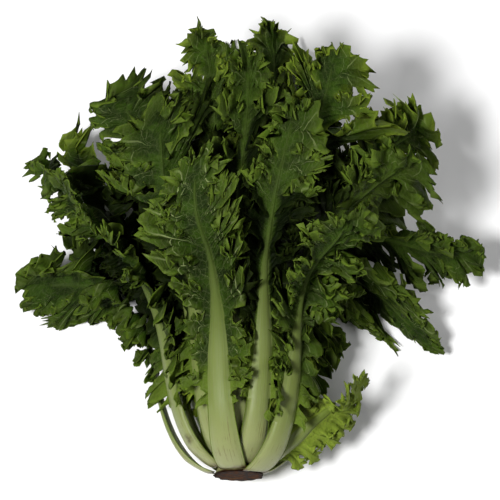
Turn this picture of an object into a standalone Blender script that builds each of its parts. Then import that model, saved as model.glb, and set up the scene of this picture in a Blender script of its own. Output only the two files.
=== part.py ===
"""A cut head of curly endive, lying on its side: a short stem with its leaves round it.

The head's axis runs along +Y, from the cut across the stem to the leaf tips, and +Z is up from the surface
it lies on. Every leaf is a patch of one nested set of shells, like the layers of an onion that opens out
into a fountain. A place on a leaf is given by three numbers:

    along    distance from the leaf's foot along its midrib, in metres
    shell    0 at the heart to 1 at the outside; each leaf keeps to a thin layer of its own
    turn     angle round the axis in radians, 0 at the top (+Z) and +90 degrees towards +X

Leaves that lie over each other never share a layer, so they can't meet.
"""

import math

import bmesh
import bpy
import numpy as np

# The head
LEAF_COUNT = 47
LEAF_TURN = math.radians(137.5)  # from one leaf to the next inner one
LAST_LEAF_TURN = math.radians(38.0)  # where the outermost leaf stands
CROWN_HEIGHT = 0.112  # from the axis to the highest leaf
STEM_AXIS_HEIGHT = 0.0455  # the axis above the table, at the petioles
LEAF_AXIS_HEIGHT = 0.066  # the same, under the blades
ROLL = 0.0246  # the slopes by which the head rolls and tips until it rests on three places
PITCH = 0.0061
PRESSED = 0.0006  # how far the lowest leaves are flattened against the table

# The stem, a blunt cone
CUT_RADIUS = 0.0175
STEM_COLLAR = 0.004  # height of the straight part over the cut
STEM_HEIGHT = 0.034
STEM_TIP_RADIUS = 0.002
STEM_GAP = 0.0007  # between the stem and the leaves' feet
STEM_SIDES = 24

# How a midrib runs: angles from the head's axis at the outermost shell
BOWL_ANGLE = math.radians(76.0)  # the petioles swell outwards at the foot
BOWL_LENGTH = 0.034
LEAN_ANGLE = math.radians(5.0)
FLARE_ANGLE = math.radians(90.0)  # the blades arch over, past square to the axis
FLARE_START = 0.086
FLARE_LENGTH = 0.150
RIGHT_OPENNESS = 0.10  # how much wider the head opens on its +X side
LOBED_OPENNESS = 0.05

# How the head sags: each is a smooth bend of the whole head, leaves and all
SWIRL = 0.10
SAG_START = 0.060
SAG_END = 0.190
SIDE_SAG = 0.34
TIP_SAG = 0.12
INNER_ROOM = 0.36  # the heart's share of the room above and below the axis
PUSHED_ON = 0.8  # what the table or crown takes off a leaf's reach, it gains in length
SWAY = 0.006
AXIS_BEND = 0.016  # towards +X at the tips
SIDE_SLOPE = 0.70  # the blades at the sides lie back as they rise, instead of standing square to the axis
SLOPE_HEIGHT = 0.052  # the height at which they keep their place
RIGHT_DROOP = 0.055  # how far the blades on each side have slumped back towards the cut end
LEFT_DROOP = 0.016
FAR_REACH = 0.016  # how much farther from the cut the tips lie, drawn out as the head lies on its side

# Leaf sizes
HEART_LEAF_LENGTH = 0.15
MIDDLE_LEAF_LENGTH = 0.272
OUTER_LEAF_LENGTH = 0.226
HEART_HALF_WIDTH = 0.017
OUTER_HALF_WIDTH = 0.053
FOOT_HALF_WIDTH = 0.0125
NECK_HALF_WIDTH = 0.0074  # where the petiole meets the blade
BLADE_START = 0.32  # as a share of the leaf's length
WIDEST_WRAP = math.radians(42.0)  # half of the turn that one leaf may wrap
BLADE_THICKNESS = 0.0011
FOOT_THICKNESS = 0.0050
RIB_END_THICKNESS = 0.0016
RIB_LAYER = 0.055  # the most of the shells' spread that a midrib takes where leaves overlap
PETIOLE_LAYER = 0.100  # the same between foot and blade, where the petioles stand apart
PROUD_SHARE = 0.66  # of a midrib's thickness, on its outer side
END_ROUND = 0.0015  # of the length: how far each end's edge stands past it

# Leaves unlike their neighbours: times the length, times the blade's width, where the blade starts, the
# turn by which the tip leans round the head, and the part of the shells' spread by which it opens outwards
USUAL_LEAF = (1.00, 1.00, BLADE_START, 0.0, 0.0)
ODD_LEAVES = {
    47: (0.97, 0.95, 0.36, 0.0, 0.0),
    46: (1.00, 1.00, 0.38, 0.0, 0.0),
    45: (0.98, 1.00, 0.32, 0.0, 0.0),
    44: (1.04, 1.05, 0.38, 0.0, 0.0),
    42: (0.50, 0.46, 0.16, math.radians(6.0), 0.34),
    41: (1.08, 1.00, 0.40, 0.0, 0.0),
    39: (1.06, 1.00, 0.36, 0.0, 0.0),
    37: (0.94, 1.05, 0.32, 0.0, 0.0),
    36: (1.04, 1.00, 0.38, 0.0, 0.0),
    34: (0.96, 0.90, 0.20, 0.0, 0.0),
    32: (0.97, 0.96, BLADE_START, 0.0, 0.0),
    29: (1.00, 0.94, BLADE_START, 0.0, 0.0),
    25: (1.06, 1.00, 0.32, 0.0, 0.0),
    24: (0.90, 0.90, 0.32, 0.0, 0.0),
}

# How finely a leaf is drawn
ACROSS = (-1.0, -0.5, -0.13, 0.13, 0.5, 1.0)
ROWS_ALONG = 14
STEPS_ALONG_A_CURVE = 24

LEAF_GREEN = (0.045, 0.105, 0.018, 1.0)
HEART_GREEN = (0.42, 0.50, 0.12, 1.0)
STEM_WHITE = (0.52, 0.50, 0.30, 1.0)


def smooth(low, high, x):
    """0 below low, 1 above high, and an even curve between."""
    share = np.clip((x - low) / (high - low), 0.0, 1.0)
    return share * share * (3.0 - 2.0 * share)


def foot_of(shell):
    """Radius and height of a leaf's foot: the feet climb the stem's cone towards the heart."""
    cone = 1.0 - shell
    radius = CUT_RADIUS + STEM_GAP - cone * (CUT_RADIUS - STEM_TIP_RADIUS)
    height = STEM_COLLAR + cone * (STEM_HEIGHT - STEM_COLLAR) + STEM_GAP
    return radius, height


def midrib_angle(along, shell, turn):
    """The angle between a midrib and the head's axis. The head opens unevenly round its axis."""
    openness = 1.0 + RIGHT_OPENNESS * np.sin(turn) + LOBED_OPENNESS * np.cos(3.0 * turn)
    bowl = BOWL_ANGLE * np.exp(-along / BOWL_LENGTH)
    flare = FLARE_ANGLE * openness * smooth(FLARE_START, FLARE_START + FLARE_LENGTH, along)
    return shell * (bowl + LEAN_ANGLE + flare)


def meridian(along, shell, turn):
    """Radius and height in the fountain, found by walking up the midrib."""
    radius, height = foot_of(shell)
    outward = 0.0
    upward = 0.0
    for step in range(STEPS_ALONG_A_CURVE):
        middle = along * (step + 0.5) / STEPS_ALONG_A_CURVE
        angle = midrib_angle(middle, shell, turn)
        outward = outward + np.sin(angle)
        upward = upward + np.cos(angle)
    pace = along / STEPS_ALONG_A_CURVE
    return radius + outward * pace, height + upward * pace


def axis_height(height):
    """The petioles lie on the table, and the blades prop the head's far end a little higher."""
    return STEM_AXIS_HEIGHT + (LEAF_AXIS_HEIGHT - STEM_AXIS_HEIGHT) * smooth(0.05, 0.16, height)


def within(radius, limit, sharpness):
    """The radius, eased so that it never passes the limit."""
    return radius / (1.0 + (radius / limit) ** sharpness) ** (1.0 / sharpness)


def head_point(along, shell, turn):
    """A place in the lying head. The table and the head's own weight bend back what would reach past them."""
    turn = turn + SWIRL * np.sin(2.0 * turn + along / 0.055) * smooth(0.06, 0.20, along)
    radius, height = meridian(along, shell, turn)
    upright = np.cos(turn)
    room = np.where(upright < 0.0, axis_height(height), CROWN_HEIGHT)
    room = room * (INNER_ROOM + (1.0 - INNER_ROOM) * shell)
    kept = within(radius, room / np.maximum(np.abs(upright), 1e-4), 8.0)
    height = height + PUSHED_ON * (radius - kept)
    x = kept * np.sin(turn)
    z = axis_height(height) + kept * upright
    z = z * (1.0 - SIDE_SAG * smooth(SAG_START, SAG_END, np.abs(x)) - TIP_SAG * smooth(0.20, 0.34, height))
    loose = smooth(0.07, 0.20, height)
    x = x + SWAY * loose * np.sin(height / 0.034 + 0.9) + AXIS_BEND * smooth(0.12, 0.30, height)
    y = height + SWAY * loose * np.sin(x / 0.036 + 0.4)
    y = y + SIDE_SLOPE * (z - SLOPE_HEIGHT) * smooth(0.050, 0.150, np.abs(x)) * loose
    droop = RIGHT_DROOP * smooth(0.030, 0.150, x) + LEFT_DROOP * smooth(0.040, 0.130, -x)
    y = y - droop * smooth(0.020, 0.260, height) + FAR_REACH * smooth(0.150, 0.290, height)
    return x, y, z


def leaf_plan(number):
    """A leaf's length and its blade's half width, then where its blade starts, and its lean and opening. The
    leaves are shortest at the heart and longest half-way out."""
    shell = number / LEAF_COUNT
    length = HEART_LEAF_LENGTH + (MIDDLE_LEAF_LENGTH - HEART_LEAF_LENGTH) * smooth(-0.05, 0.50, shell)
    length = length + (OUTER_LEAF_LENGTH - MIDDLE_LEAF_LENGTH) * smooth(0.50, 1.0, shell)
    widest = HEART_HALF_WIDTH + (OUTER_HALF_WIDTH - HEART_HALF_WIDTH) * smooth(0.0, 0.7, shell)
    longer, wider, blade_start, lean, opening = ODD_LEAVES.get(number, USUAL_LEAF)
    return length * longer, widest * wider, blade_start, lean, opening


def rib_half_width(share, shell, blade_start):
    """Half the width of the petiole, and of the midrib that carries on from it through the blade."""
    foot = FOOT_HALF_WIDTH * (0.35 + 0.65 * shell)
    neck = NECK_HALF_WIDTH * (0.45 + 0.55 * shell)
    petiole = foot + (neck - foot) * smooth(0.0, blade_start, share)
    return petiole * (1.0 - 0.8 * smooth(blade_start - 0.1, 1.0, share))


def shell_spread(along, turn):
    """The distance from the heart's shell to the outermost one at this distance along."""
    inner_radius, inner_height = meridian(along, 0.0, turn)
    outer_radius, outer_height = meridian(along, 1.0, turn)
    return np.hypot(outer_radius - inner_radius, outer_height - inner_height)


def leaf_place(number, share, across, side):
    """A place on a leaf's skin. Share runs from 0 at the foot to 1 at the tip and across from -1 to 1. Side
    is 1 on the outer face, where the midrib stands proud, -1 inside, and 0 half-way through the leaf."""
    shell = number / LEAF_COUNT
    turn = LAST_LEAF_TURN + (number - LEAF_COUNT) * LEAF_TURN
    length, widest, blade_start, lean, opening = leaf_plan(number)
    along = share * length
    turn = turn + lean * smooth(0.0, 1.0, share)
    shell = shell + opening * smooth(0.015, 0.095, along)
    radius, _ = meridian(along, shell, turn)
    rib_width = rib_half_width(share, shell, blade_start)
    blade_share = np.clip((share - blade_start) / (1.04 - blade_start), 0.0, 1.0)
    width = rib_width + widest * np.sin(math.pi * blade_share**1.2) ** 0.8
    wrap = WIDEST_WRAP * np.tanh(width / (radius * WIDEST_WRAP))
    rib = FOOT_THICKNESS + (RIB_END_THICKNESS - FOOT_THICKNESS) * smooth(0.0, 0.75, share)
    rounding = np.clip(1.0 - (across * width / rib_width) ** 2, 0.0, 1.0)
    thickness = BLADE_THICKNESS + (rib - BLADE_THICKNESS) * rounding
    apart = smooth(0.010, 0.030, along) * (1.0 - smooth(0.045, 0.078, along))
    most = RIB_LAYER + (PETIOLE_LAYER - RIB_LAYER) * apart
    layer = np.minimum(thickness / shell_spread(along, turn), most)
    proud = np.abs(side) * np.where(side > 0, PROUD_SHARE, PROUD_SHARE - 1.0)
    return head_point(along, shell + layer * proud, turn + across * wrap)


def matte(name, colour):
    material = bpy.data.materials.new(name)
    material.use_nodes = True
    shader = material.node_tree.nodes["Principled BSDF"]
    shader.inputs["Base Color"].default_value = colour
    shader.inputs["Roughness"].default_value = 0.55
    shader.inputs["Metallic"].default_value = 0.0
    return material


def keep(mesh, name, material):
    """Closes a bmesh into a named object."""
    bmesh.ops.recalc_face_normals(mesh, faces=mesh.faces)
    if mesh.calc_volume(signed=True) < 0.0:
        bmesh.ops.reverse_faces(mesh, faces=mesh.faces)
    data = bpy.data.meshes.new(name)
    mesh.to_mesh(data)
    mesh.free()
    data.materials.append(material)
    data.shade_smooth()
    piece = bpy.data.objects.new(name, data)
    bpy.context.scene.collection.objects.link(piece)
    return piece


def build_leaf(number, material):
    """A grid wrapped round the leaf: over the outer face one way and back along the inner face. Its first
    and last rows draw together half-way through the leaf, just past its two ends, and close them. The two
    faces are split along the same diagonals, so that they stay a leaf's thickness apart where it twists."""
    section = [(across, 1) for across in ACROSS] + [(across, -1) for across in reversed(ACROSS)]
    section.append(section[0])
    last_row = ROWS_ALONG + 1
    mesh = bmesh.new()
    bmesh.ops.create_grid(mesh, x_segments=last_row, y_segments=len(section) - 1, size=0.5)
    outer = [face for face in mesh.faces if face.calc_center_median().y < 0.0]
    inner = [face for face in mesh.faces if face.calc_center_median().y >= 0.0]
    bmesh.ops.triangulate(mesh, faces=outer, quad_method="FIXED")
    bmesh.ops.triangulate(mesh, faces=inner, quad_method="ALTERNATE")
    grid = np.array([vertex.co for vertex in mesh.verts])
    row = np.rint((grid[:, 0] + 0.5) * last_row)
    share = np.clip((row - 1) / (last_row - 2), -END_ROUND, 1.0 + END_ROUND)
    place = np.rint((grid[:, 1] + 0.5) * (len(section) - 1)).astype(int)
    across, side = np.array(section, float)[place].T
    side = np.where((row == 0) | (row == last_row), 0.0, side)
    points = np.stack(leaf_place(number, share, across, side), axis=1)
    for vertex, point in zip(mesh.verts, points):
        vertex.co = point
    bmesh.ops.remove_doubles(mesh, verts=mesh.verts, dist=1e-6)
    return keep(mesh, leaf_name(number), material)


def build_stem(material):
    """The cone that the leaves grow from, turned round the head's axis, with the knife's flat cut at Y 0."""
    profile = [
        (0.0, 0.0),
        (CUT_RADIUS * 0.93, 0.0),
        (CUT_RADIUS, STEM_COLLAR * 0.4),
        (CUT_RADIUS, STEM_COLLAR),
        (STEM_TIP_RADIUS, STEM_HEIGHT),
        (0.0, STEM_HEIGHT),
    ]
    mesh = bmesh.new()
    rim = [mesh.verts.new((radius, height, 0.0)) for radius, height in profile]
    edges = [mesh.edges.new(pair) for pair in zip(rim, rim[1:])]
    bmesh.ops.spin(
        mesh,
        geom=rim + edges,
        cent=(0.0, 0.0, 0.0),
        axis=(0.0, 1.0, 0.0),
        angle=2.0 * math.pi,
        steps=STEM_SIDES,
        use_merge=True,
    )
    bmesh.ops.remove_doubles(mesh, verts=mesh.verts, dist=1e-6)
    bmesh.ops.translate(mesh, verts=mesh.verts, vec=(0.0, 0.0, STEM_AXIS_HEIGHT))
    return keep(mesh, "stem", material)


def leaf_name(number):
    """Leaves are counted from the heart outwards."""
    if number <= 9:
        return f"heart_leaf_{number:02d}"
    if number <= 27:
        return f"inner_leaf_{number:02d}"
    return f"outer_leaf_{number:02d}"


def settle(pieces):
    """Rolls the head until it rests, presses its lowest leaves flat, and centres it over the origin."""
    for piece in pieces:
        for vertex in piece.data.vertices:
            vertex.co.z += ROLL * vertex.co.x + PITCH * vertex.co.y
    box = np.array([vertex.co for piece in pieces for vertex in piece.data.vertices])
    low, high = box.min(axis=0), box.max(axis=0)
    middle = (low + high) / 2.0
    for piece in pieces:
        for vertex in piece.data.vertices:
            x, y, z = vertex.co
            vertex.co = (x - middle[0], y - middle[1], max(z - low[2] - PRESSED, 0.0))


def main():
    for leftover in list(bpy.data.objects):
        bpy.data.objects.remove(leftover)
    green = matte("leaf_green", LEAF_GREEN)
    yellow = matte("heart_green", HEART_GREEN)
    pieces = [build_stem(matte("stem_white", STEM_WHITE))]
    for number in range(1, LEAF_COUNT + 1):
        pieces.append(build_leaf(number, yellow if number <= 9 else green))
    settle(pieces)


main()
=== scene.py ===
"""A cut head of curly endive lying on its side, on a pale table."""

import math

import bmesh
import bpy
import numpy as np
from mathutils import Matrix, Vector


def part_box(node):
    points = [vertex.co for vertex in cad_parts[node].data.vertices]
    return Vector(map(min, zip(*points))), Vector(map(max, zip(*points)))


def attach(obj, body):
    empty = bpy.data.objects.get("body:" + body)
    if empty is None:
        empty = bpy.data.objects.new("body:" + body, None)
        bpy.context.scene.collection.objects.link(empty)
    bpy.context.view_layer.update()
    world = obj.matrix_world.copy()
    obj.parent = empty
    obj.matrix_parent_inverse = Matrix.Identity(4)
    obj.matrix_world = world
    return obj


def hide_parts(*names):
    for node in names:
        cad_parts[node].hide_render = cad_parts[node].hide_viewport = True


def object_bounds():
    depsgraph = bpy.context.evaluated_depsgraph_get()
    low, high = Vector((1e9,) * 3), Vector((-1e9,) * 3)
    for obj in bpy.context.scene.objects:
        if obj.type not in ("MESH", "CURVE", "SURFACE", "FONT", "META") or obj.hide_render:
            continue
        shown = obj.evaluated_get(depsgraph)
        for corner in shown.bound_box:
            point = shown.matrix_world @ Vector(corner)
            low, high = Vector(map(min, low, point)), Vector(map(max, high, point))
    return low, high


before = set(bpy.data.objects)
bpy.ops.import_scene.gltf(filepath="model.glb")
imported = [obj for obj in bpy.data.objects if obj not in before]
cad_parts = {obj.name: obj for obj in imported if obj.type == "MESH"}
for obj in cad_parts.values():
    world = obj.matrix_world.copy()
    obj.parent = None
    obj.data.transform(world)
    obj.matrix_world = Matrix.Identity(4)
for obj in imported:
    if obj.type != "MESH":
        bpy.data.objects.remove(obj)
solid_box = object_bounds()


# ---- The stem -------------------------------------------------------------------------------------------
# The short solid core that every leaf grows from, cut across with a knife. It is turned round the head's
# axis. Its pale sides hardly show between the leaves' feet, and its cut has dried rough and brown.

CUT_RADIUS = 0.0175
STEM_COLLAR = 0.004  # the height of the straight part over the cut
STEM_HEIGHT = 0.034
STEM_TIP_RADIUS = 0.002
STEM_AXIS_HEIGHT = 0.0455  # the head's axis above the table, at the petioles
BROWN_FADES = (0.0052, 0.0080)  # the brown of the cut gives way to the stem's pale side between these
CUT_SLANT = 0.0042  # how much farther back the cut's upper edge lies than its lower one
SLANT_DEPTH = 0.0048  # how far up the stem the slant's effect reaches
ROLL, PITCH = 0.0246, 0.0061  # the slopes by which the whole head has rolled and tipped to lie still

stem_low, stem_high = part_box("stem")
head_x = (stem_low.x + stem_high.x) / 2.0
head_y = stem_low.y
head_z = stem_high.z - STEM_AXIS_HEIGHT - CUT_RADIUS - PITCH * STEM_COLLAR


def smooth(low, high, x):
    """0 below low, 1 above high, and an even curve between."""
    share = np.clip((x - low) / (high - low), 0.0, 1.0)
    return share * share * (3.0 - 2.0 * share)


def lie_down(x, y, z):
    """Moves places in the head, measured from the middle of the cut's lowest side, to where it lies."""
    return x + head_x, y + head_y, z + ROLL * x + PITCH * y + head_z


def node(tree, kind, inputs=None, **settings):
    """A shader node with its settings, its fixed inputs and its links. The nodes are laid out in rows."""
    made = tree.nodes.new(kind)
    made.location = (220 * (len(tree.nodes) % 10), -220 * (len(tree.nodes) // 10))
    for key, value in settings.items():
        setattr(made, key, value)
    for key, value in (inputs or {}).items():
        if isinstance(value, bpy.types.NodeSocket):
            tree.links.new(value, made.inputs[key])
        else:
            made.inputs[key].default_value = value
    return made


def between(tree, value, low, high, to_low=0.0, to_high=1.0):
    """The value, taken smoothly from one range to another."""
    ramp = node(
        tree,
        "ShaderNodeMapRange",
        {"Value": value, "From Min": low, "From Max": high, "To Min": to_low, "To Max": to_high},
        interpolation_type="SMOOTHSTEP",
    )
    return ramp.outputs["Result"]


def mixed(tree, share, first, second):
    """The first colour, with this share of the second over it."""
    mix = node(tree, "ShaderNodeMix", data_type="RGBA")
    for socket, value in ((mix.inputs[0], share), (mix.inputs[6], first), (mix.inputs[7], second)):
        if isinstance(value, bpy.types.NodeSocket):
            tree.links.new(value, socket)
        else:
            socket.default_value = value
    return mix.outputs[2]


def worked(tree, operation, *values):
    """The result of one sum on one or two values."""
    sum_node = node(tree, "ShaderNodeMath", operation=operation)
    for socket, value in zip(sum_node.inputs, values):
        if isinstance(value, bpy.types.NodeSocket):
            tree.links.new(value, socket)
        else:
            socket.default_value = value
    return sum_node.outputs[0]


def stem_material():
    """Pale green flesh at the sides. The cut dries in brown patches, and is darkest at its rim."""
    material = bpy.data.materials.new("stem_dried_cut")
    material.use_nodes = True
    tree = material.node_tree
    shader = tree.nodes["Principled BSDF"]
    spot = node(tree, "ShaderNodeTexCoord").outputs["Object"]
    around = node(
        tree,
        "ShaderNodeMapping",
        {"Vector": spot, "Location": (-head_x, -head_y, -(STEM_AXIS_HEIGHT + head_z))},
    ).outputs["Vector"]
    parts = node(tree, "ShaderNodeSeparateXYZ", {"Vector": around})
    flat = node(tree, "ShaderNodeCombineXYZ", {"X": parts.outputs["X"], "Y": parts.outputs["Z"]})
    radius = node(
        tree, "ShaderNodeVectorMath", {0: flat.outputs["Vector"]}, operation="LENGTH"
    ).outputs["Value"]
    mottle = node(
        tree, "ShaderNodeTexNoise", {"Vector": around, "Scale": 260.0, "Detail": 6.0}
    ).outputs["Fac"]
    stain = node(
        tree, "ShaderNodeTexNoise", {"Vector": around, "Scale": 70.0, "Detail": 3.0}
    ).outputs["Fac"]
    patches = between(tree, mottle, 0.36, 0.66)
    cut_brown = mixed(tree, patches, (0.0060, 0.0022, 0.0008, 1.0), (0.082, 0.029, 0.008, 1.0))
    rim = between(tree, radius, CUT_RADIUS * 0.72, CUT_RADIUS * 1.02)
    cut_colour = mixed(tree, rim, cut_brown, (0.010, 0.0035, 0.001, 1.0))
    high_up = worked(tree, "ADD", parts.outputs["Y"], worked(tree, "MULTIPLY", stain, 0.004))
    slanted = worked(tree, "MULTIPLY", parts.outputs["Z"], CUT_SLANT / (2.0 * CUT_RADIUS))
    high_up = worked(tree, "SUBTRACT", high_up, slanted)
    on_side = between(tree, high_up, *BROWN_FADES)
    colour = mixed(tree, on_side, cut_colour, (0.26, 0.27, 0.11, 1.0))
    bump = node(tree, "ShaderNodeBump", {"Height": mottle, "Strength": 0.6, "Distance": 0.0008})
    tree.links.new(colour, shader.inputs["Base Color"])
    tree.links.new(between(tree, mottle, 0.2, 0.8, 0.55, 0.85), shader.inputs["Roughness"])
    tree.links.new(bump.outputs["Normal"], shader.inputs["Normal"])
    shader.inputs["Specular IOR Level"].default_value = 0.05
    return material


stem_profile = [
    (0.0, 0.0006),
    (CUT_RADIUS * 0.45, 0.0004),
    (CUT_RADIUS * 0.80, 0.0),
    (CUT_RADIUS * 0.95, 0.0005),
    (CUT_RADIUS, STEM_COLLAR * 0.45),
    (CUT_RADIUS * 0.985, STEM_COLLAR),
    (STEM_TIP_RADIUS, STEM_HEIGHT),
    (0.0, STEM_HEIGHT),
]
STEM_TURNS = [2.0 * math.pi * step / 72 for step in range(72)]
stem_mesh = bmesh.new()
rings = []
for radius, height in stem_profile:
    places = [(radius * math.cos(turn), height, -radius * math.sin(turn)) for turn in STEM_TURNS]
    if radius > 0.0:
        rings.append([stem_mesh.verts.new(place) for place in places])
    else:
        rings.append([stem_mesh.verts.new((0.0, height, 0.0))] * len(STEM_TURNS))
for lower, upper in zip(rings, rings[1:]):
    for side in range(len(STEM_TURNS)):
        corners = (lower[side - 1], upper[side - 1], upper[side], lower[side])
        stem_mesh.faces.new(list(dict.fromkeys(corners)))
bmesh.ops.subdivide_edges(stem_mesh, edges=stem_mesh.edges, cuts=2, use_grid_fill=True)
for vertex in stem_mesh.verts:
    x, y, z = vertex.co
    angle = math.atan2(x, z)
    # the knife left the cut slightly ridged, and the feet of trimmed leaves make its rim uneven
    ragged = 0.0009 * math.sin(3.0 * angle + 0.7) + 0.0008 * math.sin(7.0 * angle)
    ragged = ragged + 0.0006 * math.sin(16.0 * angle)
    ridges = 0.00022 * math.sin(x / 0.0011) * math.sin(z / 0.0052 + 1.0)
    low_down = 1.0 - float(smooth(0.0, STEM_COLLAR, y))
    spread = 1.0 + low_down * ragged / CUT_RADIUS
    # the knife went through at a slight slant
    y += CUT_SLANT * (0.5 + 0.5 * z / CUT_RADIUS) * max(0.0, 1.0 - y / SLANT_DEPTH)
    vertex.co = lie_down(x * spread, y + low_down * (0.0004 + ridges), z * spread + STEM_AXIS_HEIGHT)
bmesh.ops.recalc_face_normals(stem_mesh, faces=stem_mesh.faces)
stem_data = bpy.data.meshes.new("stem_flesh")
stem_mesh.to_mesh(stem_data)
stem_mesh.free()
stem_data.materials.append(stem_material())
stem_data.shade_smooth()
stem_flesh = bpy.data.objects.new("stem_flesh", stem_data)
bpy.context.scene.collection.objects.link(stem_flesh)
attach(stem_flesh, "root")
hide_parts("stem")


# ---- The leaves -----------------------------------------------------------------------------------------
# Forty-seven leaves, each one blade grown out from a broad, pale, juicy petiole. The petioles swell into a
# bowl, and the blades arch over it, lobed, toothed and gathered into frills along their margins. Each is
# a flat sheet laid over its own shell of the head, then ruffled as far as the leaves over and under allow.

LEAF_COUNT = 47
LEAF_TURN = math.radians(137.5)  # from one leaf to the next inner one
LAST_LEAF_TURN = math.radians(38.0)  # where the outermost leaf stands
CROWN_HEIGHT = 0.112  # from the axis to the highest leaf
LEAF_AXIS_HEIGHT = 0.066  # the axis above the table, under the blades
STEM_GAP = 0.0007  # between the stem and the leaves' feet
BOWL_ANGLE = math.radians(76.0)  # the petioles swell outwards at the foot
BOWL_LENGTH = 0.034
LEAN_ANGLE = math.radians(5.0)
FLARE_ANGLE = math.radians(90.0)  # the blades arch over, past square to the axis
FLARE_START = 0.086
FLARE_LENGTH = 0.150
RIGHT_OPENNESS = 0.10  # how much wider the head opens on its +X side
LOBED_OPENNESS = 0.05
SWIRL = 0.10  # how far the leaves wander round the head
SAG_START = 0.060
SAG_END = 0.190
SIDE_SAG = 0.34  # the share of their height that the sides lose
TIP_SAG = 0.12  # the same at the tips
INNER_ROOM = 0.36  # the heart's share of the room above and below the axis
PUSHED_ON = 0.8  # what the table or crown takes off a leaf's reach, it gains in length
SWAY = 0.006
AXIS_BEND = 0.016  # towards +X at the tips
SIDE_SLOPE = 0.70  # the blades at the sides lie back as they rise
SLOPE_HEIGHT = 0.052  # the height at which they keep their place
RIGHT_DROOP = 0.055  # how far the blades at each side have slumped back towards the cut
LEFT_DROOP = 0.016
FAR_REACH = 0.016  # how much farther from the cut the tips lie
HEART_LEAF_LENGTH = 0.15
MIDDLE_LEAF_LENGTH = 0.272
OUTER_LEAF_LENGTH = 0.226
HEART_HALF_WIDTH = 0.017
OUTER_HALF_WIDTH = 0.053
FOOT_HALF_WIDTH = 0.0125
NECK_HALF_WIDTH = 0.0074  # where the petiole meets the blade
BLADE_START = 0.32  # as a share of the leaf's length
WIDEST_WRAP = math.radians(42.0)  # half of the turn that one leaf may wrap
FOOT_THICKNESS = 0.0050
RIB_END_THICKNESS = 0.0016
RIB_LAYER = 0.055  # the most of the shells' spread that a midrib takes
PETIOLE_LAYER = 0.100  # the same between foot and blade
# times the length, times the blade's width, where the blade starts, lean and opening
USUAL_LEAF = (1.00, 1.00, BLADE_START, 0.0, 0.0)
ODD_LEAVES = {
    47: (0.97, 0.95, 0.36, 0.0, 0.0),
    46: (1.00, 1.00, 0.38, 0.0, 0.0),
    45: (0.98, 1.00, 0.32, 0.0, 0.0),
    44: (1.04, 1.05, 0.38, 0.0, 0.0),
    42: (0.50, 0.46, 0.16, math.radians(6.0), 0.34),
    41: (1.08, 1.00, 0.40, 0.0, 0.0),
    39: (1.06, 1.00, 0.36, 0.0, 0.0),
    37: (0.94, 1.05, 0.32, 0.0, 0.0),
    36: (1.04, 1.00, 0.38, 0.0, 0.0),
    34: (0.96, 0.90, 0.20, 0.0, 0.0),
    32: (0.97, 0.96, BLADE_START, 0.0, 0.0),
    29: (1.00, 0.94, BLADE_START, 0.0, 0.0),
    25: (1.06, 1.00, 0.32, 0.0, 0.0),
    24: (0.90, 0.90, 0.32, 0.0, 0.0),
}


def meridian(along, shell, turn):
    """Radius and height in the fountain of leaves, found by walking up a midrib from its foot."""
    cone = 1.0 - shell
    radius = CUT_RADIUS + STEM_GAP - cone * (CUT_RADIUS - STEM_TIP_RADIUS)
    height = STEM_COLLAR + cone * (STEM_HEIGHT - STEM_COLLAR) + STEM_GAP
    openness = 1.0 + RIGHT_OPENNESS * np.sin(turn) + LOBED_OPENNESS * np.cos(3.0 * turn)
    steps = 24
    outward = upward = 0.0
    for step in range(steps):
        middle = along * (step + 0.5) / steps
        bowl = BOWL_ANGLE * np.exp(-middle / BOWL_LENGTH)
        flare = FLARE_ANGLE * openness * smooth(FLARE_START, FLARE_START + FLARE_LENGTH, middle)
        angle = shell * (bowl + LEAN_ANGLE + flare)
        outward = outward + np.sin(angle)
        upward = upward + np.cos(angle)
    return radius + outward * along / steps, height + upward * along / steps


def axis_height(height):
    """The petioles lie on the table, and the blades prop the head's far end a little higher."""
    return STEM_AXIS_HEIGHT + (LEAF_AXIS_HEIGHT - STEM_AXIS_HEIGHT) * smooth(0.05, 0.16, height)


def head_point(along, shell, turn):
    """A place in the lying head. The table and the head's own weight bend back what reaches past them."""
    turn = turn + SWIRL * np.sin(2.0 * turn + along / 0.055) * smooth(0.06, 0.20, along)
    radius, height = meridian(along, shell, turn)
    upright = np.cos(turn)
    room = np.where(upright < 0.0, axis_height(height), CROWN_HEIGHT)
    room = room * (INNER_ROOM + (1.0 - INNER_ROOM) * shell)
    limit = room / np.maximum(np.abs(upright), 1e-4)
    kept = radius / (1.0 + (radius / limit) ** 8.0) ** 0.125
    height = height + PUSHED_ON * (radius - kept)
    x = kept * np.sin(turn)
    z = axis_height(height) + kept * upright
    z = z * (1.0 - SIDE_SAG * smooth(SAG_START, SAG_END, np.abs(x)) - TIP_SAG * smooth(0.20, 0.34, height))
    loose = smooth(0.07, 0.20, height)
    x = x + SWAY * loose * np.sin(height / 0.034 + 0.9) + AXIS_BEND * smooth(0.12, 0.30, height)
    y = height + SWAY * loose * np.sin(x / 0.036 + 0.4)
    y = y + SIDE_SLOPE * (z - SLOPE_HEIGHT) * smooth(0.050, 0.150, np.abs(x)) * loose
    droop = RIGHT_DROOP * smooth(0.030, 0.150, x) + LEFT_DROOP * smooth(0.040, 0.130, -x)
    y = y - droop * smooth(0.020, 0.260, height) + FAR_REACH * smooth(0.150, 0.290, height)
    return np.stack(lie_down(x, y, z), axis=-1)


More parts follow.
